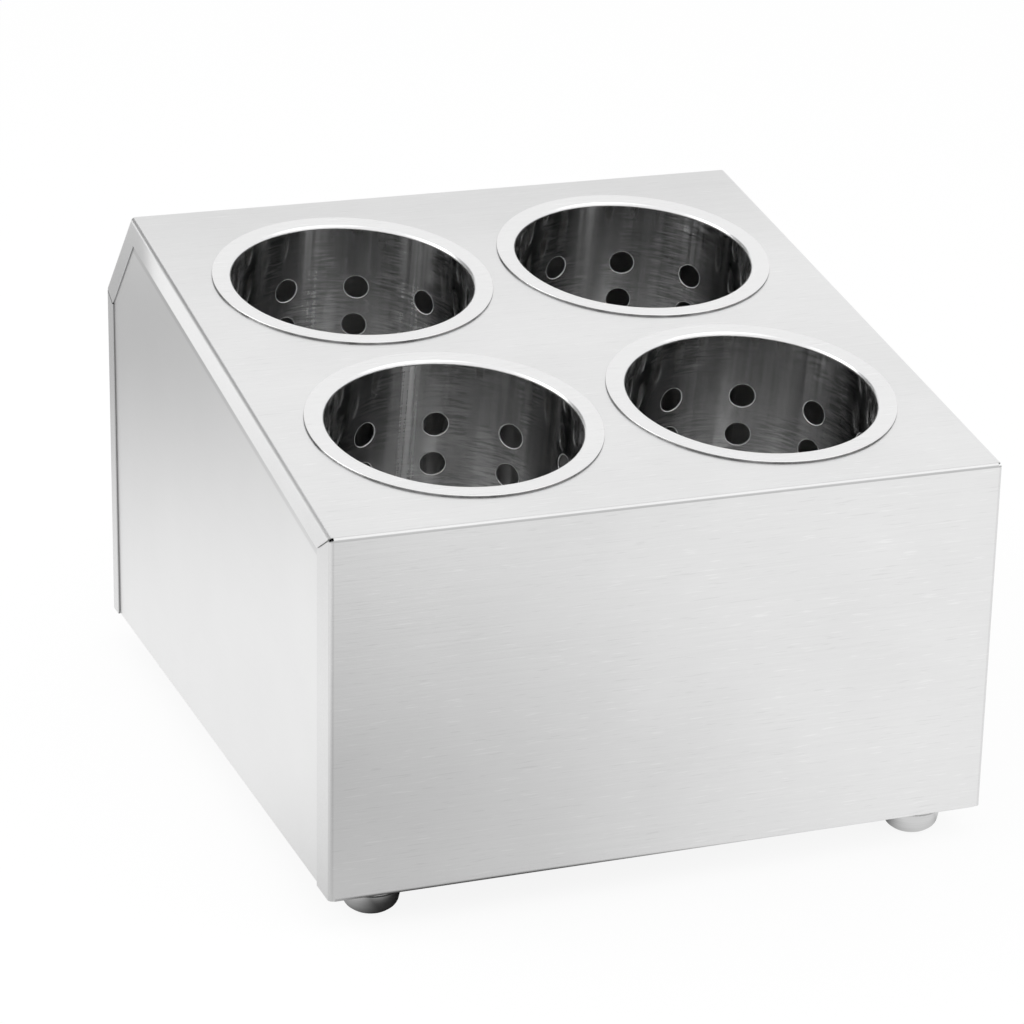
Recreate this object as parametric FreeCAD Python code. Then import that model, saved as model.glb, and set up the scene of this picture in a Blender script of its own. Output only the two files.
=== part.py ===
import FreeCAD, Part
import math
import os

# Cutlery holder: a folded stainless housing with a sloping top that holds four perforated lift-out cups.
# Millimetres, +Z up, front towards -Y, origin on the floor under the middle of the housing.

# Cups and their spacing; the housing is sized round them
cup_rim_diameter = 112.5
cup_inside_diameter = 97.0
cup_depth = 135.0  # from the seat of the rim to the lower end of the wall
cup_sheet = 0.8
cup_lip_bevel = 0.8  # where the wall turns out into the rim
cup_hole_clearance = 1.2  # leaves room for the bend under the rim
cup_gap_across = 8.6  # between two rims, side to side
cup_gap_along = 9.8  # between two rims, up the slope
side_margin = 15.7  # from a rim to the side of the housing
slope_margin = 16.28  # from a rim to either end of the slope
cup_floor_gap = 12.65  # lowest point of a front cup above the bottom of the housing

# Perforations in the cup walls and a drain hole in each base
perforation_diameter = 10.0
perforation_columns = 10
perforation_rows = 2
first_row_depth = 27.0
row_pitch = 17.4
perforation_sides = 10  # the many holes are drawn with ten sides
perforation_border = 1.0  # flat strip left on each side of a column of holes
base_sheet = 1.0
base_weld_gap = 0.2
drain_diameter = 12.0

# How far each cup is turned in its hole, in degrees from the uphill direction towards +X
cup_turns = {"front_left": 13.0, "front_right": 22.8, "rear_left": 21.5, "rear_right": 19.1}

# Housing sheet, folds and flanges
slope_angle = 10.0
chamfer_angle = 45.0
chamfer_run = 41.7
sheet = 0.8
bend_inside = 1.0
front_flange = 14.5
slope_flange = 11.0
chamfer_flange = 9.7
back_flange = 9.0
bottom_flange = 32.8
panel_bottom_flange = 20.0
mitre_gap = 0.6
relief_width = 1.2  # notch at the outer end of a mitre
relief_clearance = 0.6  # the notch's reach beyond the fold
corner_trim = 0.9  # the upright folds and side flanges end this far above the bottom
fold_clearance = 0.5  # between the edge of a sheet and the fold or sheet beside it

# Feet
foot_height = 12.0
foot_diameter = 22.4
foot_bottom_diameter = 12.5
foot_bevel_height = 6.5
foot_side_inset = 21.5

# Sizes that follow from those above
cup_rim_radius = cup_rim_diameter / 2
cup_inside_radius = cup_inside_diameter / 2
cup_outside_radius = cup_inside_radius + cup_sheet
cup_hole_radius = cup_outside_radius + cup_hole_clearance
strip_width = perforation_diameter + 2 * perforation_border
strip_distance = math.sqrt(cup_inside_radius**2 - (strip_width / 2) ** 2)
column_pitch = cup_rim_diameter + cup_gap_across
slope_pitch = cup_rim_diameter + cup_gap_along
first_cup = slope_margin + cup_rim_radius
slope_length = slope_pitch + 2 * first_cup
slope_turn = math.radians(slope_angle)
chamfer_turn = math.radians(chamfer_angle)
body_width = column_pitch + 2 * (side_margin + cup_rim_radius)
body_depth = slope_length * math.cos(slope_turn) + chamfer_run
cup_drop = cup_depth * math.cos(slope_turn) + (cup_outside_radius - first_cup) * math.sin(slope_turn)
front_height = cup_floor_gap + cup_drop
half_width = body_width / 2
half_depth = body_depth / 2
bend_outside = bend_inside + sheet
past = 2 * bend_outside  # how far a cutting tool reaches beyond the sheet it cuts

CORNERS = {"front_left": (-1, -1), "front_right": (1, -1), "rear_left": (-1, 1), "rear_right": (1, 1)}


def export(shape, name):
    shape.exportStep("parts/" + name + ".step")


def turned(shape, axis, degrees, place=(0, 0, 0)):
    """The shape turned about an axis through the origin, then moved to its place."""
    copy = shape.copy()
    copy.rotate(FreeCAD.Vector(0, 0, 0), FreeCAD.Vector(*axis), degrees)
    copy.translate(FreeCAD.Vector(*place))
    return copy


def face_of(points):
    corners = [FreeCAD.Vector(*point) for point in points]
    return Part.Face(Part.makePolygon(corners + corners[:1]))


def regular_prism(sides, corner_radius, length):
    """A regular prism along +Z from the origin."""
    angles = [2 * math.pi * (side + 0.5) / sides for side in range(sides)]
    points = [(corner_radius * math.cos(a), corner_radius * math.sin(a), 0) for a in angles]
    return face_of(points).extrude(FreeCAD.Vector(0, 0, length))


def side_outline(front, slope, chamfer, back, bottom):
    """Corners of the housing's side view, each straight edge moved inwards by its own distance."""
    front_y = front - half_depth
    back_y = half_depth - back
    slope_rise = math.tan(slope_turn)
    chamfer_fall = math.tan(chamfer_turn)
    ridge_y = half_depth - chamfer_run
    ridge_z = foot_height + front_height + slope_length * math.sin(slope_turn)
    slope_z = ridge_z - slope / math.cos(slope_turn)
    chamfer_z = ridge_z - chamfer / math.cos(chamfer_turn)
    inner_ridge_y = ridge_y + (chamfer_z - slope_z) / (slope_rise + chamfer_fall)
    return [
        (0, front_y, bottom),
        (0, front_y, slope_z + (front_y - ridge_y) * slope_rise),
        (0, inner_ridge_y, slope_z + (inner_ridge_y - ridge_y) * slope_rise),
        (0, back_y, chamfer_z - (back_y - ridge_y) * chamfer_fall),
        (0, back_y, bottom),
    ]


def across(points, width):
    """A prism of a side outline, centred on the housing's width."""
    prism = face_of(points).extrude(FreeCAD.Vector(width, 0, 0))
    prism.translate(FreeCAD.Vector(-width / 2, 0, 0))
    return prism


def rounded_block(inset, radius, bottom):
    """The housing's block, moved inwards all round and rounded along every edge but those of its underside."""
    block = across(side_outline(inset, inset, inset, inset, bottom), body_width - 2 * inset)
    folds = [edge for edge in block.Edges if edge.BoundBox.ZMax > bottom + radius]
    return block.makeFillet(radius, folds)


def folded_lip(length, flat_length, width):
    """A strip folded inwards at the foot of a wall that stands on y = 0, its shorter flat towards +Y."""
    bend = FreeCAD.Vector(0, bend_outside, bend_outside)
    along = FreeCAD.Vector(length, 0, 0)
    slant = math.sqrt(0.5)

    def arc(radius, first, last):
        middle = bend + FreeCAD.Vector(0, -radius * slant, -radius * slant)
        return Part.Arc(first, middle, last).toShape()

    outer_top = FreeCAD.Vector(0, 0, bend_outside)
    outer_low = FreeCAD.Vector(0, bend_outside, 0)
    inner_low = FreeCAD.Vector(0, bend_outside, sheet)
    inner_top = FreeCAD.Vector(0, sheet, bend_outside)
    edge_low = FreeCAD.Vector(0, width, 0)
    edge_top = FreeCAD.Vector(0, width, sheet)
    edges = [
        arc(bend_outside, outer_top, outer_low),
        Part.makeLine(outer_low, edge_low),
        Part.makeLine(edge_low, edge_top),
        Part.makeLine(edge_top, inner_low),
        arc(bend_inside, inner_low, inner_top),
        Part.makeLine(inner_top, outer_top),
    ]
    lip = Part.Face(Part.Wire(edges)).extrude(along)
    lip.translate(along * -0.5)
    spare = (length - flat_length) / 2
    end = Part.makeBox(spare, width, sheet, FreeCAD.Vector(0, bend_outside, 0))
    ends = [end.translated(FreeCAD.Vector(start, 0, 0)) for start in (-length / 2, flat_length / 2)]
    return lip.cut(ends)


def lip_room(length):
    """The strip of wall that a folded lip replaces, drawn like the lip itself."""
    corner = FreeCAD.Vector(-length / 2, -past, -past)
    return Part.makeBox(length, past + bend_outside, past + bend_outside, corner)


def mitre(corner, inner):
    """Tools that part two side flanges: a thin slit from the outline's corner to the inner one, and a corner notch."""
    outline_corner = FreeCAD.Vector(*corner)
    inner_corner = FreeCAD.Vector(*inner)
    along = (inner_corner - outline_corner).normalize()
    sideways = along.cross(FreeCAD.Vector(1, 0, 0))
    relief = bend_outside + relief_clearance
    cuts = []
    for width, end in ((mitre_gap, inner_corner + along * mitre_gap), (relief_width, outline_corner + along * relief)):
        start = outline_corner - along * past
        half = sideways * (width / 2)
        slot = face_of([start - half, end - half, end + half, start + half])
        cuts.append(slot.extrude(FreeCAD.Vector(bend_outside + past, 0, 0)))
    return cuts


def cup_place(name):
    """Where the middle of a cup's rim seat lies on the slope."""
    side, row = CORNERS[name]
    up_slope = slope_length / 2 + row * slope_pitch / 2
    y = up_slope * math.cos(slope_turn) - half_depth
    z = foot_height + front_height + up_slope * math.sin(slope_turn)
    return (side * column_pitch / 2, y, z)


def foot_place(name):
    side, row = CORNERS[name]
    return (side * (half_width - foot_side_inset), row * (half_depth - bottom_flange / 2), 0)


def housing_shell():
    """Front, slope, chamfer and back in one folded sheet, with mitred side flanges and bottom flanges."""
    outer = rounded_block(0, bend_outside, foot_height)
    shell = outer.cut(rounded_block(sheet, bend_inside, foot_height - past))
    corners = side_outline(0, 0, 0, 0, foot_height)
    window = side_outline(front_flange, slope_flange, chamfer_flange, back_flange, foot_height - past)
    tools = [across(window, body_width + past)]
    for corner in (1, 3):
        for cut in mitre(corners[corner], window[corner]):
            for start in (half_width - bend_outside, -half_width - past):
                tools.append(cut.translated(FreeCAD.Vector(start, 0, 0)))
    hole = Part.makeCylinder(cup_hole_radius, 2 * past, FreeCAD.Vector(0, 0, -past))
    lip_length = body_width - 2 * (bend_outside + fold_clearance)
    flat_length = body_width - 2 * (sheet + bend_outside + fold_clearance)
    trim = Part.makeBox(body_width + 2 * past, body_depth + 2 * past, past + corner_trim)
    trim.translate(FreeCAD.Vector(-half_width - past, -half_depth - past, foot_height - past))
    middle = Part.makeBox(lip_length, body_depth + 4 * past, 2 * past + corner_trim)
    middle.translate(FreeCAD.Vector(-lip_length / 2, -half_depth - 2 * past, foot_height - past))
    tools.append(trim.cut(middle))
    lips = []
    for turn, wall_y in ((0, -half_depth), (180, half_depth)):
        foot_of_wall = (0, wall_y, foot_height)
        tools.append(turned(lip_room(lip_length), (0, 0, 1), turn, foot_of_wall))
        lips.append(turned(folded_lip(lip_length, flat_length, bottom_flange), (0, 0, 1), turn, foot_of_wall))
    for name in CORNERS:
        tools.append(turned(hole, (1, 0, 0), slope_angle, cup_place(name)))
    return shell.cut(tools).fuse(lips).removeSplitter()


def side_panel(side):
    """Flat panel behind the side flanges, with a bottom flange between those of the front and back."""
    inset = bend_outside + fold_clearance
    outside = half_width - sheet
    plate = face_of(side_outline(inset, inset, inset, inset, foot_height))
    plate = plate.extrude(FreeCAD.Vector(-side * sheet, 0, 0))
    plate.translate(FreeCAD.Vector(side * outside, 0, 0))
    length = body_depth - 2 * inset
    flat_length = body_depth - 2 * (bottom_flange + fold_clearance)
    place = (side * outside, 0, foot_height)
    room = turned(lip_room(length), (0, 0, 1), side * 90, place)
    lip = turned(folded_lip(length, flat_length, panel_bottom_flange), (0, 0, 1), side * 90, place)
    return plate.cut(room).fuse(lip).removeSplitter()


def rolled(radius, flat_distance, height):
    """A round bar along +Z, flat across each column of holes; the first column faces +X."""
    corner_radius = flat_distance / math.cos(math.pi / perforation_columns)
    bar = Part.makeCylinder(radius, height)
    return bar.common(regular_prism(perforation_columns, corner_radius, height))


def cup_wall():
    """Rolled wall with a flat rim and rows of perforations; the rim's seat is at z = 0."""
    height = cup_depth + cup_sheet
    wall = rolled(cup_outside_radius, strip_distance + cup_sheet, height)
    wall.translate(FreeCAD.Vector(0, 0, -cup_depth))
    rim = Part.makeCylinder(cup_rim_radius, cup_sheet)
    inside = rolled(cup_inside_radius, strip_distance, height + past)
    inside.translate(FreeCAD.Vector(0, 0, -cup_depth))
    lip_low = FreeCAD.Vector(0, 0, cup_sheet - 2 * cup_lip_bevel)
    lip = Part.makeCone(
        cup_inside_radius - cup_lip_bevel, cup_inside_radius + 2 * cup_lip_bevel, 3 * cup_lip_bevel, lip_low
    )
    punch = regular_prism(perforation_sides, perforation_diameter / 2, cup_sheet + 2 * past)
    punch = turned(punch, (0, 1, 0), 90, (strip_distance - past, 0, -first_row_depth))
    holes = []
    for row in range(perforation_rows):
        lowered = punch.translated(FreeCAD.Vector(0, 0, -row * row_pitch))
        for column in range(perforation_columns):
            holes.append(turned(lowered, (0, 0, 1), column * 360 / perforation_columns))
    return wall.fuse(rim).cut([inside, lip] + holes).removeSplitter()


def cup_base():
    """Many-sided base welded in flush with the lower end of the wall, with a drain hole in its middle."""
    sides = 2 * perforation_columns
    to_strip = (strip_distance - base_weld_gap) / math.cos(math.pi / sides)
    base = regular_prism(sides, min(cup_inside_radius - base_weld_gap, to_strip), base_sheet)
    drain = regular_prism(perforation_sides, drain_diameter / 2, base_sheet)
    return base.cut(drain).translated(FreeCAD.Vector(0, 0, -cup_depth))


def in_slope(shape, name):
    """A cup's piece, drawn upright at the origin, turned and set into its hole in the slope."""
    return turned(turned(shape, (0, 0, 1), 90 - cup_turns[name]), (1, 0, 0), slope_angle, cup_place(name))


def feet():
    """Four bowl-shaped feet, standing on the floor."""
    profile = [
        (0, 0, 0),
        (foot_bottom_diameter / 2, 0, 0),
        (foot_diameter / 2, 0, foot_bevel_height),
        (foot_diameter / 2, 0, foot_height),
        (0, 0, foot_height),
    ]
    bowl = face_of(profile).revolve(FreeCAD.Vector(0, 0, 0), FreeCAD.Vector(0, 0, 1), 360)
    return Part.makeCompound([bowl.translated(FreeCAD.Vector(*foot_place(name))) for name in CORNERS])


def main():
    os.makedirs("parts", exist_ok=True)
    export(housing_shell(), "housing_shell")
    export(side_panel(-1), "left_side_panel")
    export(side_panel(1), "right_side_panel")
    export(feet(), "feet")
    for name in CORNERS:
        export(in_slope(cup_wall(), name), "cup_wall_" + name)
        export(in_slope(cup_base(), name), "cup_base_" + name)
    print("width", body_width, "depth", body_depth, "height", side_outline(0, 0, 0, 0, 0)[2][2])


main()
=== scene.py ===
import logging
import math
from dataclasses import dataclass
from enum import Enum

import bmesh
import bpy
from mathutils import Matrix, Vector


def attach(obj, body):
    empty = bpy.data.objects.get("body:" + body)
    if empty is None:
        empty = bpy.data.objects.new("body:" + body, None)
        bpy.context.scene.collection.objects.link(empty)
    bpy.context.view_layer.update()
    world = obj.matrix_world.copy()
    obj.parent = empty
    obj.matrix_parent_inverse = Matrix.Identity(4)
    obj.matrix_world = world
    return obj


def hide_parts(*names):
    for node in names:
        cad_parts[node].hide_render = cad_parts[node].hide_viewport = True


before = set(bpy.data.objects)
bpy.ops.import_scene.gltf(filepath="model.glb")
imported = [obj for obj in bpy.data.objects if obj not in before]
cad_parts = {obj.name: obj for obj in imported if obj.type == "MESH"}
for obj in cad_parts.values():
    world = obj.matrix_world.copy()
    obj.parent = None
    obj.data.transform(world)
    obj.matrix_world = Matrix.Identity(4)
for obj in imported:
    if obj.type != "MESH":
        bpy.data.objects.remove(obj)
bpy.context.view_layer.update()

SLOPE = math.radians(10.0)
SLOPE_FRONT = (-0.1525, 0.15356)
log = logging.getLogger("cutlery_holder")


class Grain(Enum):
    """Which way the brush lines of a sheet run, as noise scales per metre along X, Y and Z."""

    ACROSS = (28.0, 1900.0, 1900.0)
    LENGTHWISE = (1900.0, 28.0, 1900.0)


class Corner(Enum):
    """The four places in the slope and under the housing, as side (X) and row (Y)."""

    FRONT_LEFT = (-1, -1)
    FRONT_RIGHT = (1, -1)
    REAR_LEFT = (-1, 1)
    REAR_RIGHT = (1, 1)

    @property
    def label(self) -> str:
        """The corner's name as the solids use it."""
        return self.name.lower()


class ShaderTree:
    """A material's node tree, with short calls for the nodes that the finishes share."""

    def __init__(self, name: str) -> None:
        """Start an empty material.

        Args:
            name: the material's name.
        """
        self.owner = bpy.data.materials.new(name)
        self.owner.use_nodes = True
        self.tree = self.owner.node_tree
        self.tree.nodes.clear()
        self.output = self.node("ShaderNodeOutputMaterial")

    def node(self, kind: str, **settings: object) -> bpy.types.Node:
        """Add a node.

        Args:
            kind: the node's type name.
            settings: attributes to set on it.
        Returns:
            The new node.
        """
        made = self.tree.nodes.new(kind)
        for key, value in settings.items():
            setattr(made, key, value)
        return made

    def link(self, source: bpy.types.NodeSocket, target: bpy.types.NodeSocket) -> None:
        """Join an output socket to an input socket."""
        self.tree.links.new(source, target)

    def place(self, scale: tuple[float, float, float], tilt: float = 0.0) -> bpy.types.NodeSocket:
        """Object coordinates, first turned back by a tilt about X and then scaled.

        Args:
            scale: pattern cells per metre along each axis.
            tilt: the tilt of the piece about X, in radians.
        Returns:
            The vector socket.
        """
        coordinates = self.node("ShaderNodeTexCoord").outputs["Object"]
        mapping = self.node("ShaderNodeMapping", vector_type="TEXTURE")
        mapping.inputs["Rotation"].default_value = (tilt, 0.0, 0.0)
        mapping.inputs["Scale"].default_value = tuple(1.0 / value for value in scale)
        self.link(coordinates, mapping.inputs["Vector"])
        return mapping.outputs["Vector"]

    def noise(self, where: bpy.types.NodeSocket, detail: float, rough: float = 0.6) -> bpy.types.NodeSocket:
        """Grey noise about 0.5.

        Args:
            where: the pattern's coordinates.
            detail: octaves of finer noise.
            rough: strength of the finer octaves.
        Returns:
            The value socket.
        """
        made = self.node("ShaderNodeTexNoise")
        made.inputs["Scale"].default_value = 1.0
        made.inputs["Detail"].default_value = detail
        made.inputs["Roughness"].default_value = rough
        self.link(where, made.inputs["Vector"])
        return made.outputs["Fac"]

    def spread(
        self,
        value: bpy.types.NodeSocket,
        source: tuple[float, float],
        target: tuple[float, float],
        soft: bool = False,
    ) -> bpy.types.NodeSocket:
        """Map a value from one range to another.

        Args:
            value: the value to map.
            source: the range it comes from.
            target: the range it goes to.
            soft: whether the ends are eased.
        Returns:
            The mapped value.
        """
        made = self.node("ShaderNodeMapRange", interpolation_type="SMOOTHSTEP" if soft else "LINEAR")
        for name, number in zip(("From Min", "From Max", "To Min", "To Max"), source + target):
            made.inputs[name].default_value = number
        self.link(value, made.inputs["Value"])
        return made.outputs["Result"]

    def parts(self, vector: bpy.types.NodeSocket) -> dict[str, bpy.types.NodeSocket]:
        """The X, Y and Z of a vector."""
        made = self.node("ShaderNodeSeparateXYZ")
        self.link(vector, made.inputs["Vector"])
        return {name: made.outputs[name] for name in "XYZ"}

    def blend(self, share: bpy.types.NodeSocket, first: object, second: object) -> bpy.types.NodeSocket:
        """Go from a first value to a second one by a share.

        Args:
            share: how much of the second value, 0 to 1.
            first: a socket or a number.
            second: a socket or a number.
        Returns:
            The blended value.
        """
        made = self.node("ShaderNodeMapRange")
        self.link(share, made.inputs["Value"])
        for name, value in (("To Min", first), ("To Max", second)):
            if isinstance(value, bpy.types.NodeSocket):
                self.link(value, made.inputs[name])
            else:
                made.inputs[name].default_value = value
        return made.outputs["Result"]

    def math(self, operation: str, first: object, second: object = 0.0) -> bpy.types.NodeSocket:
        """Join two values with a math node.

        Args:
            operation: the math node's operation.
            first: a socket or a number.
            second: a socket or a number.
        Returns:
            The result's socket.
        """
        made = self.node("ShaderNodeMath", operation=operation)
        for socket, value in zip(made.inputs, (first, second)):
            if isinstance(value, bpy.types.NodeSocket):
                self.link(value, socket)
            else:
                socket.default_value = value
        return made.outputs["Value"]

    def metal(
        self,
        tone: bpy.types.NodeSocket,
        roughness: bpy.types.NodeSocket,
        height: bpy.types.NodeSocket,
        relief: tuple[float, float],
        normal: bpy.types.NodeSocket | None = None,
    ) -> bpy.types.Material:
        """Finish the tree as a metal.

        Args:
            tone: grey reflectance over the surface.
            roughness: roughness over the surface.
            height: relief over the surface.
            relief: strength and distance of the bump.
            normal: the way the surface faces, where it leans a little.
        Returns:
            The material.
        """
        shader = self.shader = self.node("ShaderNodeBsdfPrincipled")
        shader.inputs["Metallic"].default_value = 1.0
        bump = self.node("ShaderNodeBump")
        bump.inputs["Strength"].default_value, bump.inputs["Distance"].default_value = relief
        self.link(tone, shader.inputs["Base Color"])
        self.link(roughness, shader.inputs["Roughness"])
        self.link(height, bump.inputs["Height"])
        if normal is not None:
            self.link(normal, bump.inputs["Normal"])
        self.link(bump.outputs["Normal"], shader.inputs["Normal"])
        self.link(shader.outputs["BSDF"], self.output.inputs["Surface"])
        return self.owner


@dataclass(frozen=True)
class BrushedSteel:
    """Sheet steel with a brushed grain, faint clouds and a little handling wear."""

    name: str
    tone: float
    roughness: float
    grain: Grain
    line_depth: float = 0.05
    cloud_depth: float = 0.025
    mark_depth: float = 0.05
    relief: float = 0.12
    mark_scale: tuple[float, float] = (100.0, 1500.0)
    cloud_scale: float = 14.0

    def material(self) -> bpy.types.Material:
        """Build the finish.

        Returns:
            The material.
        """
        tree = ShaderTree(self.name)
        fine = tree.noise(tree.place(self.grain.value), 4.0)
        broad = tree.noise(tree.place(tuple(value * 0.3 for value in self.grain.value)), 3.0)
        along, across = self.mark_scale
        mark_scale = tuple(along if value < along else across for value in self.grain.value)
        marks = tree.noise(tree.place(mark_scale), 1.0)
        clouds = tree.noise(tree.place((self.cloud_scale,) * 3), 3.0)
        lines = tree.math("ADD", tree.math("MULTIPLY", fine, 0.65), tree.math("MULTIPLY", broad, 0.35))
        grained = tree.spread(lines, (0.25, 0.75), (self.tone - self.line_depth, self.tone + self.line_depth))
        cloudy = tree.spread(clouds, (0.3, 0.7), (-self.cloud_depth, self.cloud_depth))
        bright = tree.spread(marks, (0.64, 0.76), (0.0, self.mark_depth), soft=True)
        dull = tree.spread(marks, (0.24, 0.36), (-self.mark_depth, 0.0), soft=True)
        marked = tree.math("ADD", grained, tree.math("ADD", bright, dull))
        tone = self.shade(tree, tree.math("ADD", marked, cloudy))
        wear = 1.5 * self.line_depth
        worn = tree.spread(lines, (0.25, 0.75), (self.roughness + wear, self.roughness - wear))
        return tree.metal(tone, worn, lines, (self.relief, 0.0004), self.facing(tree))

    def shade(self, tree: ShaderTree, tone: bpy.types.NodeSocket) -> bpy.types.NodeSocket:
        """The tone as it is; finishes with special places change it."""
        return tone

    def facing(self, tree: ShaderTree) -> bpy.types.NodeSocket | None:
        """The surface faces as it is built; finishes with sprung folds lean it."""
        return None

    @staticmethod
    def below_slope(tree: ShaderTree, place: dict[str, bpy.types.NodeSocket]) -> bpy.types.NodeSocket:
        """How far a point of the housing's side lies below the slope, square to it."""
        rise = tree.math("MULTIPLY", tree.math("SUBTRACT", place["Y"], SLOPE_FRONT[0]), math.sin(SLOPE))
        drop = tree.math("MULTIPLY", tree.math("SUBTRACT", place["Z"], SLOPE_FRONT[1]), math.cos(SLOPE))
        return tree.math("SUBTRACT", rise, drop)


@dataclass(frozen=True)
class FoldedSteel(BrushedSteel):
    """Brushed sheet whose side flanges, bends and cut edges take painted reflection and painted shade.

    The flange tones are painted reflections for the front, the slope and the rear.
    Each painted bend shade holds from one height of the facing direction to another.
    """

    half_width: float = 0.1325
    ridge: float = 0.1108
    # Painted reflection: the side flanges drawn lighter or darker than the sheet.
    painted_flange_tones: tuple[float, float, float] = (0.73, 0.87, 0.72)
    # Painted shade: the flanges' cut edges drawn dark, in place of the shaded gap beside them.
    cut_shade_tone: float = 0.16
    cut_insets: tuple[float, float, float, float] = (0.0009, 0.0007, 0.0005, 0.0003)
    # Painted shade: the slope drawn darker towards the back.
    rear_shade_tone: float = 0.9
    # Painted shade on the bends round the front.
    upright_bend_shade: float = 0.9
    bend_shade_tones: tuple[tuple[float, float, float], ...] = ((0.07, 0.5, 0.66), (0.5, 0.93, 0.8))
    bend_blur: float = 0.04
    spring: float = 0.3
    mitre_slant: float = 1.32

    def shade(self, tree: ShaderTree, tone: bpy.types.NodeSocket) -> bpy.types.NodeSocket:
        """Paint reflection and shade: tone the side flanges and the slope from front to back, and darken the
        cut edges.

        Args:
            tree: the finish's tree.
            tone: the brushed tone.
        Returns:
            The shaded tone.
        """
        place = tree.parts(tree.node("ShaderNodeTexCoord").outputs["Object"])
        normal = tree.parts(tree.node("ShaderNodeTexCoord").outputs["Normal"])
        sideways = tree.math("ABSOLUTE", normal["X"])
        # Painted reflection on the side flanges: lighter on the slope's flange, darker at the front and
        # towards the ridge.
        flange = tree.spread(sideways, (0.85, 0.97), (0.0, 1.0), soft=True)
        front, middle, rear = (value / self.tone for value in self.painted_flange_tones)
        level = tree.blend(self.past_mitre(tree, place), front, middle)
        rearward = tree.spread(place["Y"], (0.05, self.ridge), (1.0, rear / middle), soft=True)
        flanged = tree.blend(flange, 1.0, tree.math("MULTIPLY", level, rearward))
        # Painted shade along the flanges' cut edges.
        across = tree.math("ABSOLUTE", place["X"])
        limits = [self.half_width - inset for inset in self.cut_insets]
        within = tree.spread(across, tuple(limits[:2]), (0.0, 1.0))
        outer = tree.spread(across, tuple(limits[2:]), (1.0, 0.25))
        within = tree.math("MULTIPLY", within, outer)
        cut = tree.math("MULTIPLY", within, tree.spread(sideways, (0.1, 0.2), (1.0, 0.0)))
        painted_factor = tree.blend(cut, flanged, self.cut_shade_tone / self.tone)
        # Painted shade: the slope darker towards the back.
        slope = tree.spread(normal["Z"], (0.95, 0.98), (0.0, 1.0))
        uphill = tree.spread(place["Y"], (0.02, self.ridge), (1.0, self.rear_shade_tone), soft=True)
        painted_factor = tree.math("MULTIPLY", painted_factor, tree.blend(slope, 1.0, uphill))
        return tree.math("MULTIPLY", tree.math("MULTIPLY", tone, painted_factor), self.bends(tree, normal))

    def past_mitre(self, tree: ShaderTree, place: dict[str, bpy.types.NodeSocket]) -> bpy.types.NodeSocket:
        """Whether a point of the side flanges lies behind the mitre at the front, on the slope's flange."""
        slant = tree.math("MULTIPLY", self.below_slope(tree, place), self.mitre_slant)
        return tree.math("GREATER_THAN", tree.math("SUBTRACT", place["Y"], slant), SLOPE_FRONT[0])

    def bends(self, tree: ShaderTree, normal: dict[str, bpy.types.NodeSocket]) -> bpy.types.NodeSocket:
        """Paint shade on the bends round the front, drawn darker than the flats they join.

        Args:
            tree: the finish's tree.
            normal: the way the surface faces.
        Returns:
            The factor for the tone.
        """
        forward = tree.spread(normal["Y"], (-0.3, -0.18), (1.0, 0.0))
        sideways = tree.math("ABSOLUTE", normal["X"])
        upright = tree.math("MULTIPLY", forward, tree.spread(sideways, (0.05, 0.2), (0.0, 1.0)))
        # Painted shade on the upright front corner bends, then in bands across the front bends.
        factor = tree.blend(upright, 1.0, self.upright_bend_shade)
        for low, high, level in self.bend_shade_tones:
            above = tree.spread(normal["Z"], (low - self.bend_blur, low + self.bend_blur), (0.0, 1.0))
            below = tree.spread(normal["Z"], (high - self.bend_blur, high + self.bend_blur), (1.0, 0.0))
            share = tree.math("MULTIPLY", tree.math("MULTIPLY", above, below), forward)
            factor = tree.math("MULTIPLY", factor, tree.blend(share, 1.0, level))
        return factor

    def facing(self, tree: ShaderTree) -> bpy.types.NodeSocket:
        """Lean the slope's side flanges upwards a little, as a fold springs back.

        Args:
            tree: the finish's tree.
        Returns:
            The leaned normal.
        """
        place = tree.parts(tree.node("ShaderNodeTexCoord").outputs["Object"])
        normal = tree.node("ShaderNodeNewGeometry").outputs["Normal"]
        sideways = tree.math("ABSOLUTE", tree.parts(normal)["X"])
        flange = tree.spread(sideways, (0.85, 0.97), (0.0, self.spring), soft=True)
        flange = tree.math("MULTIPLY", flange, self.past_mitre(tree, place))
        flange = tree.math("MULTIPLY", flange, tree.spread(place["Y"], (0.06, 0.1), (1.0, 0.0), soft=True))
        lift = tree.node("ShaderNodeCombineXYZ")
        tree.link(flange, lift.inputs["Z"])
        leaned = tree.node("ShaderNodeVectorMath", operation="ADD")
        tree.link(normal, leaned.inputs[0])
        tree.link(lift.outputs["Vector"], leaned.inputs[1])
        straight = tree.node("ShaderNodeVectorMath", operation="NORMALIZE")
        tree.link(leaned.outputs["Vector"], straight.inputs[0])
        return straight.outputs["Vector"]


@dataclass(frozen=True)
class PanelSteel(BrushedSteel):
    """Brushed side panel, a little darker in the shade of the flange that covers its upper edge."""

    shaded: tuple[float, float] = (0.0142, 0.0154)
    shade_tone: float = 0.84

    def shade(self, tree: ShaderTree, tone: bpy.types.NodeSocket) -> bpy.types.NodeSocket:
        """Darken the strip just below the slope's flange.

        Args:
            tree: the finish's tree.
            tone: the brushed tone.
        Returns:
            The shaded tone.
        """
        place = tree.parts(tree.node("ShaderNodeTexCoord").outputs["Object"])
        below = self.below_slope(tree, place)
        return tree.math("MULTIPLY", tone, tree.spread(below, self.shaded, (self.shade_tone, 1.0), soft=True))


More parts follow.
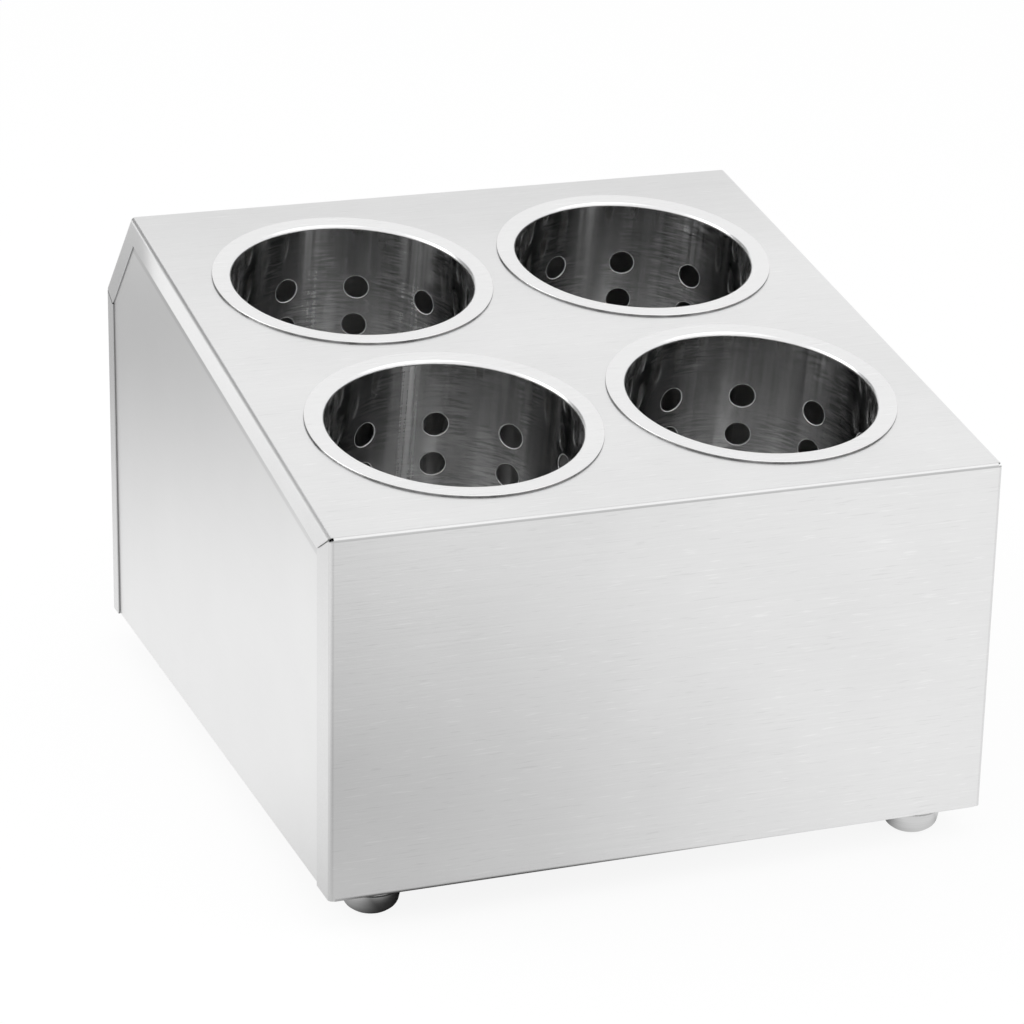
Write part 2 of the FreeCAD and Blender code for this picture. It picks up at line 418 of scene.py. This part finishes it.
@dataclass(frozen=True)
class CupSteel:
    """Steel of a cup, brushed round its inside, so that light spreads in upright streaks.

    Each band is a strip that is brushed more: its middle and reach in half turns from uphill, and its
    added roughness. The scales are pattern cells per metre across, along and up the cup.
    """

    name: str
    tone: float
    roughness: float
    streak_depth: float = 0.06
    brushing: float = 0.85
    bands: tuple[tuple[float, float, float], ...] = ()
    ring_depth: float = 0.16
    streak_scale: tuple[float, float, float] = (420.0, 420.0, 5.0)
    broad_scale: tuple[float, float, float] = (75.0, 75.0, 2.5)
    ring_scale: tuple[float, float, float] = (110.0, 110.0, 1000.0)
    patch_scale: tuple[float, float, float] = (45.0, 45.0, 30.0)
    ring_wear: float = 0.25
    brightest: float = 0.97

    def material(self) -> bpy.types.Material:
        """Build the finish.

        Returns:
            The material.
        """
        tree = ShaderTree(self.name)
        streaks = tree.noise(tree.place(self.streak_scale, SLOPE), 2.0)
        broad = tree.noise(tree.place(self.broad_scale, SLOPE), 2.0)
        rings = tree.noise(tree.place(self.ring_scale, SLOPE), 3.0)
        patches = tree.noise(tree.place(self.patch_scale, SLOPE), 2.0)
        brushed = tree.spread(rings, (0.35, 0.65), (-1.0, 1.0))
        ringed = tree.math("MULTIPLY", brushed, tree.spread(patches, (0.42, 0.62), (0.1, 1.0), soft=True))
        upright = tree.math("ADD", tree.math("MULTIPLY", streaks, 0.5), tree.math("MULTIPLY", broad, 0.5))
        tones = (self.tone - self.streak_depth, self.tone + self.streak_depth)
        tone = tree.math("MULTIPLY", ringed, self.ring_depth)
        tone = tree.math("ADD", tree.spread(upright, (0.35, 0.65), tones), tone)
        tone = tree.math("MINIMUM", tone, self.brightest)
        worn = tree.spread(upright, (0.35, 0.65), (self.roughness * 0.85, self.roughness * 1.2))
        worn = tree.math("ADD", worn, tree.math("MULTIPLY", ringed, self.ring_wear * self.ring_depth))
        around = tree.node("ShaderNodeAttribute", attribute_name="around").outputs["Fac"]
        for middle, reach, depth in self.bands:
            away = tree.math("ABSOLUTE", tree.math("SUBTRACT", around, middle))
            band = tree.math("MULTIPLY", tree.spread(away, (0.0, reach), (depth, 0.0), soft=True), streaks)
            worn = tree.math("ADD", worn, band)
        height = tree.math("MULTIPLY", ringed, 2.2 * self.ring_depth)
        height = tree.math("ADD", height, tree.math("MULTIPLY", upright, 0.5))
        made = tree.metal(tone, worn, height, (0.08, 0.0003))
        axis = tree.node("ShaderNodeCombineXYZ")
        axis.inputs["Y"].default_value, axis.inputs["Z"].default_value = -math.sin(SLOPE), math.cos(SLOPE)
        tree.link(axis.outputs["Vector"], tree.shader.inputs["Tangent"])
        tree.shader.inputs["Anisotropic"].default_value = self.brushing
        return made


@dataclass(frozen=True)
class TurnedChrome:
    """Bright plated metal with a trace of turning marks and small rubs."""

    name: str
    tone: float
    roughness: float

    def material(self) -> bpy.types.Material:
        """Build the finish.

        Returns:
            The material.
        """
        tree = ShaderTree(self.name)
        rings = tree.noise(tree.place((60.0, 60.0, 2400.0)), 3.0)
        rubs = tree.noise(tree.place((420.0, 420.0, 420.0)), 4.0)
        tone = tree.spread(rings, (0.3, 0.7), (self.tone - 0.03, self.tone + 0.03))
        worn = tree.spread(rubs, (0.35, 0.7), (self.roughness, self.roughness + 0.1))
        return tree.metal(tone, worn, rings, (0.06, 0.0002))


def piece(name: str, mesh: bmesh.types.BMesh, finishes: list[bpy.types.Material]) -> bpy.types.Object:
    """Turn a bmesh into a smooth-shaded object at the origin.

    Args:
        name: the piece's name.
        mesh: its shape, which is used up.
        finishes: its materials, in slot order.
    Returns:
        The object, linked into the scene.
    """
    data = bpy.data.meshes.new(name)
    mesh.to_mesh(data)
    mesh.free()
    for finish in finishes:
        data.materials.append(finish)
    data.shade_smooth()
    made = bpy.data.objects.new(name, data)
    bpy.context.scene.collection.objects.link(made)
    return made


def next_ring(
    mesh: bmesh.types.BMesh, ring: list[bmesh.types.BMEdge], widen: float = 1.0, lift: float = 0.0
) -> list[bmesh.types.BMEdge]:
    """Extrude a closed ring of edges about Z.

    Args:
        mesh: the mesh that holds the ring.
        ring: its edges.
        widen: factor on the ring's radius.
        lift: how far the new ring is moved along Z.
    Returns:
        The new ring's edges.
    """
    made = bmesh.ops.extrude_edge_only(mesh, edges=ring)["geom"]
    verts = [part for part in made if isinstance(part, bmesh.types.BMVert)]
    bmesh.ops.scale(mesh, vec=(widen, widen, 1.0), verts=verts)
    bmesh.ops.translate(mesh, vec=(0.0, 0.0, lift), verts=verts)
    return [part for part in made if isinstance(part, bmesh.types.BMEdge) and part.is_boundary]


def turned_profile(points: list[tuple[float, float]], steps: int) -> bmesh.types.BMesh:
    """Spin a few points of a half section round Z.

    Args:
        points: radius and height of each point.
        steps: faces round the piece.
    Returns:
        The closed mesh.
    """
    mesh = bmesh.new()
    verts = [mesh.verts.new((radius, 0.0, height)) for radius, height in points]
    edges = [mesh.edges.new(pair) for pair in zip(verts, verts[1:])]
    bmesh.ops.spin(
        mesh, geom=verts + edges, cent=(0, 0, 0), axis=(0, 0, 1), angle=math.tau, steps=steps, use_merge=True
    )
    bmesh.ops.remove_doubles(mesh, verts=mesh.verts, dist=1e-6)
    bmesh.ops.recalc_face_normals(mesh, faces=mesh.faces)
    return mesh


def ease(mesh: bmesh.types.BMesh, edges: list[bmesh.types.BMEdge], width: float, segments: int) -> None:
    """Bevel the given edges.

    Args:
        mesh: the mesh to change.
        edges: its edges to bevel.
        width: the bevel's width.
        segments: faces across the bevel.
    """
    bmesh.ops.bevel(
        mesh,
        geom=edges,
        offset=width,
        offset_type="OFFSET",
        affect="EDGES",
        segments=segments,
        profile=0.5,
        material=-1,
    )


def round_edges(mesh: bmesh.types.BMesh, width: float, segments: int, sharp: float = 0.5) -> None:
    """Bevel every edge that is sharper than an angle.

    Args:
        mesh: the mesh to change.
        width: the bevel's width.
        segments: faces across the bevel.
        sharp: the smallest angle that is bevelled, in radians.
    """
    edges = [edge for edge in mesh.edges if edge.is_manifold and edge.calc_face_angle(0.0) > sharp]
    ease(mesh, edges, width, segments)


@dataclass
class Housing:
    """The folded housing, whose solids keep their shape and get their finish here."""

    shell_finish: bpy.types.Material
    panel_finish: bpy.types.Material

    def dress(self) -> None:
        """Give the shell and both side panels their finish."""
        finishes = {
            "housing_shell": self.shell_finish,
            "left_side_panel": self.panel_finish,
            "right_side_panel": self.panel_finish,
        }
        for node, finish in finishes.items():
            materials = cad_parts[node].data.materials
            materials.clear()
            materials.append(finish)
            log.info("dressed %s", node)


@dataclass
class Cup:
    """A perforated cup that hangs by its rim in a hole of the slope and lifts out."""

    corner: Corner
    turn: float
    wall_finish: bpy.types.Material
    outside_finish: bpy.types.Material
    edge_finish: bpy.types.Material
    rim_finish: bpy.types.Material
    shade_finish: bpy.types.Material
    base_finish: bpy.types.Material
    inside_radius: float = 0.0485
    rim_radius: float = 0.05625
    depth: float = 0.135
    sheet: float = 0.0008
    lip_radius: float = 0.0018
    hole_radius: float = 0.005
    edge_ring: float = 0.0003
    edge_radius: float = 0.00026
    columns: int = 10
    rows: int = 2
    first_row: float = 0.027
    row_pitch: float = 0.0174
    base_sheet: float = 0.001
    base_gap: float = 0.0003
    cove: float = 0.0015
    drain_radius: float = 0.006
    column_half: float = 0.06055
    front_seat: tuple[float, float] = (-0.08107, 0.166155)
    rear_seat: tuple[float, float] = (0.03937, 0.187393)

    def seat(self) -> Matrix:
        """Where the cup hangs: turned in its hole, tilted with the slope and moved to its seat.

        Returns:
            The matrix from the upright cup to its place.
        """
        side, row = self.corner.value
        y, z = self.front_seat if row < 0 else self.rear_seat
        place = Matrix.Translation((side * self.column_half, y, z))
        tilt = Matrix.Rotation(SLOPE, 4, "X")
        return place @ tilt @ Matrix.Rotation(math.radians(90.0 - self.turn), 4, "Z")

    def mark_around(self, mesh: bmesh.types.BMesh) -> None:
        """Keep on each point of the upright cup how far round from uphill it lies, in half turns."""
        layer = mesh.verts.layers.float.new("around")
        for vert in mesh.verts:
            angle = math.atan2(vert.co.y, vert.co.x) - math.radians(self.turn)
            vert[layer] = math.remainder(angle, math.tau) / math.pi

    def perforated_band(self) -> bmesh.types.BMesh:
        """Rows of round holes in a flat strip, rolled up into a ring; each hole's edge ring is rough bare
        steel drawn lighter as a painted highlight.

        Returns:
            The ring, upright round the origin.
        """
        band = bmesh.new()
        girth = math.tau * self.inside_radius / self.columns
        bmesh.ops.create_grid(band, x_segments=18, y_segments=10, size=0.5)
        bmesh.ops.scale(band, vec=(girth, self.row_pitch, 1.0), verts=band.verts)
        reach_x, reach_y = girth * 4 / 18, self.row_pitch * 4 / 10
        room = []
        for face in band.faces:
            middle = face.calc_center_median()
            if abs(middle.x) < reach_x and abs(middle.y) < reach_y:
                room.append(face)
        bmesh.ops.delete(band, geom=room, context="FACES")
        around = [edge for edge in band.edges if edge.is_boundary and self.near_hole(edge, reach_x, reach_y)]
        for radius in (self.hole_radius + self.edge_ring, self.hole_radius):
            drawn_in = bmesh.ops.extrude_edge_only(band, edges=around)["geom"]
            for vert in (part for part in drawn_in if isinstance(part, bmesh.types.BMVert)):
                vert.co = vert.co.normalized() * radius
            around = [part for part in drawn_in if isinstance(part, bmesh.types.BMEdge) and part.is_boundary]
        # Edge rings take the edge finish: rough bare steel, with a painted highlight in its lighter tone.
        for face in (part for part in drawn_in if isinstance(part, bmesh.types.BMFace)):
            face.material_index = 1
        cell = band.verts[:] + band.edges[:] + band.faces[:]
        for column in range(self.columns):
            for row in range(self.rows):
                if column or row:
                    copied = bmesh.ops.duplicate(band, geom=cell)["geom"]
                    verts = [part for part in copied if isinstance(part, bmesh.types.BMVert)]
                    bmesh.ops.translate(band, vec=(column * girth, -row * self.row_pitch, 0.0), verts=verts)
        for vert in band.verts:
            angle = vert.co.x / self.inside_radius
            height = vert.co.y - self.first_row
            vert.co = (self.inside_radius * math.cos(angle), self.inside_radius * math.sin(angle), height)
        bmesh.ops.remove_doubles(band, verts=band.verts, dist=1e-6)
        return band

    @staticmethod
    def near_hole(edge: bmesh.types.BMEdge, reach_x: float, reach_y: float) -> bool:
        """Whether a boundary edge of the flat cell lies round its hole, and not on the cell's outline."""
        return all(abs(v.co.x) < reach_x * 1.01 and abs(v.co.y) < reach_y * 1.01 for v in edge.verts)

    def wall(self) -> bpy.types.Object:
        """Wall, rounded lip and flat rim in one sheet.

        Returns:
            The piece.
        """
        mesh = self.perforated_band()
        top = self.row_pitch / 2 - self.first_row
        bottom = top - self.rows * self.row_pitch
        upper = [edge for edge in mesh.edges if all(abs(v.co.z - top) < 1e-6 for v in edge.verts)]
        lower = [edge for edge in mesh.edges if all(abs(v.co.z - bottom) < 1e-6 for v in edge.verts)]
        drop = -(self.depth + bottom) / 6
        for _ in range(6):
            lower = next_ring(mesh, lower, lift=drop)
        lip_foot = self.sheet - self.lip_radius
        for _ in range(3):
            upper = next_ring(mesh, upper, lift=(lip_foot - top) / 3)
        plain_faces = set(mesh.faces)
        steps = 8
        radius, height = self.inside_radius, lip_foot
        for step in range(1, steps + 1):
            angle = math.radians(90.0) * step / steps
            wide = self.inside_radius + self.lip_radius * (1.0 - math.cos(angle))
            high = lip_foot + self.lip_radius * math.sin(angle)
            upper = next_ring(mesh, upper, widen=wide / radius, lift=high - height)
            radius, height = wide, high
        for share in (0.05, 0.5, 0.95, 1.0):
            wide = self.inside_radius + self.lip_radius
            wide += (self.rim_radius - wide) * share
            upper = next_ring(mesh, upper, widen=wide / radius)
            radius = wide
        for face in mesh.faces:
            face.material_index = face.material_index if face in plain_faces else 2
        bmesh.ops.recalc_face_normals(mesh, faces=mesh.faces)
        sample = next(iter(plain_faces))
        if sample.normal.dot(sample.calc_center_median()) > 0.0:
            bmesh.ops.reverse_faces(mesh, faces=mesh.faces)
        self.mark_around(mesh)
        bmesh.ops.transform(mesh, matrix=self.seat(), verts=mesh.verts)
        # The shade finish is painted shade on the rim's outer edge; the edge finish's lighter tone round the
        # holes is a painted highlight.
        inside = [self.wall_finish, self.edge_finish, self.rim_finish, self.shade_finish]
        outside = [self.outside_finish, self.edge_finish, self.rim_finish]
        made = piece(f"{self.corner.label}_cup_wall", mesh, inside + outside)
        thick = made.modifiers.new("sheet", "SOLIDIFY")
        thick.thickness, thick.offset, thick.material_offset_rim = self.sheet, -1.0, 1
        thick.material_offset = len(inside)
        eased = made.modifiers.new("eased_edges", "BEVEL")
        eased.width, eased.segments = self.edge_radius, 3
        eased.limit_method, eased.angle_limit = "ANGLE", math.radians(45)
        evened = made.modifiers.new("even_shading", "WEIGHTED_NORMAL")
        evened.mode, evened.weight, evened.keep_sharp = "FACE_AREA", 50, False
        return made

    def base(self) -> bpy.types.Object:
        """Flat base with a drain hole, coved up to meet the wall.

        Returns:
            The piece.
        """
        mesh = bmesh.new()
        bmesh.ops.create_circle(mesh, cap_ends=False, radius=self.drain_radius, segments=96)
        floor = self.base_sheet - self.depth
        bmesh.ops.translate(mesh, vec=(0.0, 0.0, floor), verts=mesh.verts)
        ring = mesh.edges[:]
        radius, height = self.drain_radius, floor
        for wide, high in self.base_section(floor):
            ring = next_ring(mesh, ring, widen=wide / radius, lift=high - height)
            radius, height = wide, high
        bmesh.ops.recalc_face_normals(mesh, faces=mesh.faces)
        if sum(face.normal.z for face in mesh.faces) < 0.0:
            bmesh.ops.reverse_faces(mesh, faces=mesh.faces)
        bmesh.ops.transform(mesh, matrix=self.seat(), verts=mesh.verts)
        made = piece(f"{self.corner.label}_cup_base", mesh, [self.base_finish, self.edge_finish])
        thick = made.modifiers.new("sheet", "SOLIDIFY")
        thick.thickness, thick.offset, thick.material_offset_rim = self.base_sheet, -1.0, 1
        return made

    def base_section(self, floor: float) -> list[tuple[float, float]]:
        """Radius and height of each ring of the base, from its drain hole out and up the cove.

        Args:
            floor: height of its flat.
        Returns:
            The rings, in order.
        """
        outer, cove, steps = self.inside_radius - self.base_gap, self.cove, 5
        rings = [(0.012, floor), (0.03, floor), (outer - cove, floor)]
        for step in range(1, steps + 1):
            angle = math.radians(90.0) * step / steps
            rings.append((outer - cove * (1.0 - math.sin(angle)), floor + cove * (1.0 - math.cos(angle))))
        return rings

    def build(self) -> None:
        """Build the cup's pieces in place of its solids."""
        label = self.corner.label
        for made, node in ((self.wall(), f"cup_wall_{label}"), (self.base(), f"cup_base_{label}")):
            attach(made, f"cup_{label}")
            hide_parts(node)
            log.info("built %s", made.name)


@dataclass
class Foot:
    """A bowl-shaped foot, with the stud, washer and nut that hold it to the bottom flange."""

    corner: Corner
    finish: bpy.types.Material
    steel: bpy.types.Material
    height: float = 0.012
    radius: float = 0.0112
    bottom_radius: float = 0.00625
    flange_sheet: float = 0.0008
    across: float = 0.111
    along: float = 0.1361
    bowl_section: tuple[tuple[float, float], ...] = (
        (0.9, 0.24),
        (1.0, 0.66),
        (1.0, 0.84),
        (0.93, 0.86),
        (0.93, 1.0),
    )
    washer_radii: tuple[float, float] = (0.0033, 0.0075)
    washer_sheet: float = 0.001
    nut_radius: float = 0.0058
    nut_height: float = 0.005
    stud_radius: float = 0.003
    stud_end: float = 0.003

    def set_down(self, mesh: bmesh.types.BMesh, name: str, finish: bpy.types.Material) -> bpy.types.Object:
        """Move a piece drawn round the origin to its corner.

        Args:
            mesh: the piece's shape.
            name: what it is.
            finish: its material.
        Returns:
            The piece, riding on the housing.
        """
        side, row = self.corner.value
        bmesh.ops.translate(mesh, vec=(side * self.across, row * self.along, 0.0), verts=mesh.verts)
        made = piece(f"{self.corner.label}_foot_{name}", mesh, [finish])
        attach(made, "housing")
        log.info("built %s", made.name)
        return made

    def bowl(self) -> None:
        """The bowl, rounded from its flat end up to its straight upper band."""
        points = [(0.0, 0.0), (self.bottom_radius, 0.0)]
        points += [(self.radius * wide, self.height * high) for wide, high in self.bowl_section]
        points.append((0.0, self.height))
        mesh = turned_profile(points, 64)
        round_edges(mesh, 0.0006, 3, 1.2)
        low = [edge for edge in mesh.edges if all(0.0 <= v.co.z < self.height * 0.75 for v in edge.verts)]
        level = [edge for edge in low if abs(edge.verts[0].co.z - edge.verts[1].co.z) < 1e-7]
        ease(mesh, [edge for edge in level if edge.calc_face_angle(0.0) > 0.1], 0.0016, 6)
        made = self.set_down(mesh, "bowl", self.finish)
        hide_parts("feet")

    def fasteners(self) -> None:
        """Washer, nut and the end of the stud, above the bottom flange."""
        flange = self.height + self.flange_sheet
        hole, outer = self.washer_radii
        seat = flange + self.washer_sheet
        section = [(hole, flange), (outer, flange), (outer, seat), (hole, seat), (hole, flange)]
        washer = turned_profile(section, 48)
        round_edges(washer, 0.0002, 2)
        self.set_down(washer, "washer", self.steel)
        nut = bmesh.new()
        radius = self.nut_radius
        bmesh.ops.create_cone(
            nut, cap_ends=True, segments=6, radius1=radius, radius2=radius, depth=self.nut_height
        )
        bmesh.ops.translate(nut, vec=(0.0, 0.0, seat + self.nut_height / 2), verts=nut.verts)
        round_edges(nut, 0.0004, 2)
        self.set_down(nut, "nut", self.steel)
        foot = seat + self.nut_height
        end = foot + self.stud_end
        radius = self.stud_radius
        stud = turned_profile([(0.0, foot), (radius, foot), (radius, end), (0.0, end)], 32)
        round_edges(stud, 0.0005, 2)
        self.set_down(stud, "stud", self.steel)

    def build(self) -> None:
        """Build the foot and its fasteners."""
        self.bowl()
        self.fasteners()


@dataclass
class Studio:
    """Pale floor, even white surroundings, a grey card, two soft lamps and the camera."""

    camera_place: tuple[float, float, float] = (-0.5011, -1.28698, 0.60411)
    azimuth: float = -21.057
    elevation: float = 20.223
    roll: float = 1.145
    lens: float = 128.0
    half_width: float = 0.1325
    half_depth: float = 0.1525
    surroundings_strength: float = 1.0
    # Spots of painted shade on the floor, seen only in reflections.
    shades: tuple[tuple[float, float, float, float], ...] = (
        (-0.14, -0.28, 0.3, 0.5),
        (-0.13, -0.53, 0.38, 0.68),
        (-0.34, 0.62, 0.5, 0.4),
    )
    shown_share: float = 0.89
    mirrored_share: float = 0.9

    def floor(self) -> None:
        """A wide pale floor that shows white and keeps a soft shadow."""
        mesh = bmesh.new()
        bmesh.ops.create_grid(mesh, x_segments=1, y_segments=1, size=20.0)
        made = piece("floor", mesh, [self.floor_finish()])

    def floor_finish(self) -> bpy.types.Material:
        """White floor: mostly its own white for the camera and for reflections, partly lit for the shadow.

        Each shade is a spot of painted shade that only reflections show: its X, Y, reach and darkest level.

        Returns:
            The material.
        """
        tree = ShaderTree("pale_floor")
        coordinates = tree.node("ShaderNodeTexCoord").outputs["Object"]
        place = tree.parts(coordinates)
        # Painted shadow under the housing, seen only in reflections.
        out_x = tree.math("SUBTRACT", tree.math("ABSOLUTE", place["X"]), self.half_width - 0.024)
        depths = (self.half_depth - 0.004, self.half_depth - 0.03)
        nearer = tree.spread(place["X"], (-0.06, 0.08), depths, soft=True)
        out_y = tree.math("SUBTRACT", tree.math("ABSOLUTE", place["Y"]), nearer)
        shown = tree.spread(tree.math("MAXIMUM", out_x, out_y), (0.0, 0.03), (0.0, 1.0), soft=True)
        for x, y, reach, darkest in self.shades:
            away = tree.node("ShaderNodeVectorMath", operation="DISTANCE")
            tree.link(coordinates, away.inputs[0])
            away.inputs[1].default_value = (x, y, 0.0)
            level = tree.spread(away.outputs["Value"], (0.0, reach), (darkest, 1.0), soft=True)
            shown = tree.math("MULTIPLY", shown, level)
        rays = tree.node("ShaderNodeLightPath").outputs
        mirrored = tree.math("MAXIMUM", rays["Is Glossy Ray"], rays["Is Transmission Ray"])
        strength = tree.math("ADD", rays["Is Camera Ray"], tree.math("MULTIPLY", mirrored, shown))
        share = tree.math("MULTIPLY", rays["Is Camera Ray"], self.shown_share)
        share = tree.math("ADD", share, tree.math("MULTIPLY", mirrored, self.mirrored_share))
        lit = tree.node("ShaderNodeBsdfDiffuse")
        lit.inputs["Color"].default_value = (0.88, 0.88, 0.88, 1.0)
        white = tree.node("ShaderNodeEmission")
        tree.link(strength, white.inputs["Strength"])
        mix = tree.node("ShaderNodeMixShader")
        tree.link(share, mix.inputs["Fac"])
        tree.link(lit.outputs["BSDF"], mix.inputs[1])
        tree.link(white.outputs["Emission"], mix.inputs[2])
        tree.link(mix.outputs["Shader"], tree.output.inputs["Surface"])
        tree.owner.cycles.emission_sampling = "NONE"
        return tree.owner

    def surroundings(self) -> None:
        """Even white all round, which lights the object at a plain level."""
        world = bpy.data.worlds.new("surroundings")
        bpy.context.scene.world = world
        world.use_nodes = True
        nodes, links = world.node_tree.nodes, world.node_tree.links
        nodes.clear()
        white = nodes.new("ShaderNodeBackground")
        white.inputs["Color"].default_value = (1.0, 1.0, 1.0, 1.0)
        white.inputs["Strength"].default_value = self.surroundings_strength
        output = nodes.new("ShaderNodeOutputWorld")
        links.new(white.outputs["Background"], output.inputs["Surface"])

    def card(self) -> None:
        """A grey card behind on the left, which only the polished folds mirror."""
        mesh = bmesh.new()
        bmesh.ops.create_grid(mesh, x_segments=1, y_segments=1, size=0.5)
        turn = Vector((0.5, -0.75, -0.45)).to_track_quat("Z", "Y").to_matrix().to_4x4()
        bmesh.ops.transform(mesh, matrix=Matrix.Translation((-0.8, 1.25, 0.88)) @ turn, verts=mesh.verts)
        tree = ShaderTree("grey_card")
        grey = tree.node("ShaderNodeEmission")
        clouds = tree.noise(tree.place((3.0, 3.0, 3.0)), 1.0)
        tree.link(tree.spread(clouds, (0.3, 0.7), (0.24, 0.3)), grey.inputs["Strength"])
        tree.link(grey.outputs["Emission"], tree.output.inputs["Surface"])
        tree.owner.cycles.emission_sampling = "NONE"
        made = piece("grey_card", mesh, [tree.owner])
        made.visible_camera = made.visible_diffuse = made.visible_shadow = made.visible_transmission = False

    def lamp(self, name: str, place: tuple[float, float, float], size: float, watts: float) -> None:
        """A square soft lamp that faces the object.

        Args:
            name: the lamp's name.
            place: where it hangs.
            size: length of its side.
            watts: its power.
        """
        data = bpy.data.lights.new(name, "AREA")
        data.size, data.energy = size, watts
        made = bpy.data.objects.new(name, data)
        made.location = place
        made.rotation_euler = (Vector((0.0, 0.0, 0.1)) - Vector(place)).to_track_quat("-Z", "Y").to_euler()
        bpy.context.scene.collection.objects.link(made)

    def camera(self) -> None:
        """The camera at the photograph's place, with its slight roll."""
        angles = (self.azimuth, self.elevation, self.roll)
        azimuth, elevation, roll = (math.radians(value) for value in angles)
        level = math.cos(elevation)
        back = Vector((math.sin(azimuth) * level, -math.cos(azimuth) * level, math.sin(elevation)))
        right = Vector((0.0, 0.0, 1.0)).cross(back).normalized()
        up = back.cross(right)
        turned_right = right * math.cos(roll) + up * math.sin(roll)
        turned_up = up * math.cos(roll) - right * math.sin(roll)
        data = bpy.data.cameras.new("camera")
        data.lens, data.sensor_width, data.clip_end = self.lens, 36.0, 100.0
        made = bpy.data.objects.new("camera", data)
        rotation = Matrix((turned_right, turned_up, back)).transposed().to_4x4()
        made.matrix_world = Matrix.Translation(self.camera_place) @ rotation
        bpy.context.scene.collection.objects.link(made)
        bpy.context.scene.camera = made

    def build(self) -> None:
        """Set up the whole studio."""
        bpy.context.scene.view_settings.view_transform = "Standard"
        self.floor()
        self.surroundings()
        self.card()
        self.lamp("key_lamp", place=(0.55, -0.8, 1.5), size=1.6, watts=4.0)
        self.lamp("fill_lamp", place=(-1.2, 0.3, 1.1), size=0.9, watts=6.0)
        self.camera()


CUP_BANDS = {
    Corner.FRONT_LEFT: ((0.005, 0.07, 0.44), (-0.29, 0.13, 0.17)),
    Corner.FRONT_RIGHT: ((0.005, 0.06, 0.16), (-0.32, 0.15, 0.2)),
    Corner.REAR_LEFT: ((0.005, 0.06, 0.34), (-0.29, 0.13, 0.29)),
    Corner.REAR_RIGHT: ((0.005, 0.06, 0.25), (-0.3, 0.13, 0.24)),
}
CUP_TURNS = {
    Corner.FRONT_LEFT: 13.0,
    Corner.FRONT_RIGHT: 22.8,
    Corner.REAR_LEFT: 21.5,
    Corner.REAR_RIGHT: 19.1,
}


def main() -> None:
    """Build the cutlery holder's looks, piece by piece."""
    logging.basicConfig(level=logging.INFO, format="%(message)s")
    Studio().build()
    shell = FoldedSteel(
        "shell_steel", 0.78, 0.3, Grain.ACROSS, line_depth=0.022, cloud_depth=0.02, mark_depth=0.05
    )
    panel = PanelSteel(
        "panel_steel",
        0.79,
        0.3,
        Grain.LENGTHWISE,
        line_depth=0.005,
        cloud_depth=0.012,
        mark_depth=0.0,
        relief=0.015,
    )
    Housing(shell.material(), panel.material()).dress()
    outside = CupSteel("cup_outside_steel", 0.8, 0.2, streak_depth=0.03, brushing=0.6, ring_depth=0.04)
    # Rough bare hole edges, drawn lighter as a painted highlight.
    edge = CupSteel("cup_edge_steel_and_highlight", 0.95, 0.85, streak_depth=0.02, brushing=0.0)
    rim = BrushedSteel("cup_rim_steel", 0.83, 0.25, Grain.ACROSS, line_depth=0.02, cloud_depth=0.01)
    # Painted shade: the rims' outer edges drawn dark as a shadow line.
    shade = CupSteel("cup_rim_edge_painted_shade", 0.25, 0.3, streak_depth=0.06, brushing=0.0)
    base = BrushedSteel("cup_base_steel", 0.55, 0.42, Grain.ACROSS, line_depth=0.02, cloud_depth=0.02)
    shared = [finish.material() for finish in (outside, edge, rim, shade, base)]
    for corner, turn in CUP_TURNS.items():
        name, bands = f"cup_wall_steel_{corner.label}", CUP_BANDS[corner]
        wall = CupSteel(name, 0.81, 0.096, streak_depth=0.05, bands=bands, ring_depth=0.2).material()
        Cup(corner, turn, wall, *shared).build()
    chrome = TurnedChrome("foot_chrome", 0.62, 0.04).material()
    bolt = TurnedChrome("bolt_steel", 0.5, 0.22).material()
    for corner in Corner:
        Foot(corner, chrome, bolt).build()


if __name__ == "__main__":
    main()
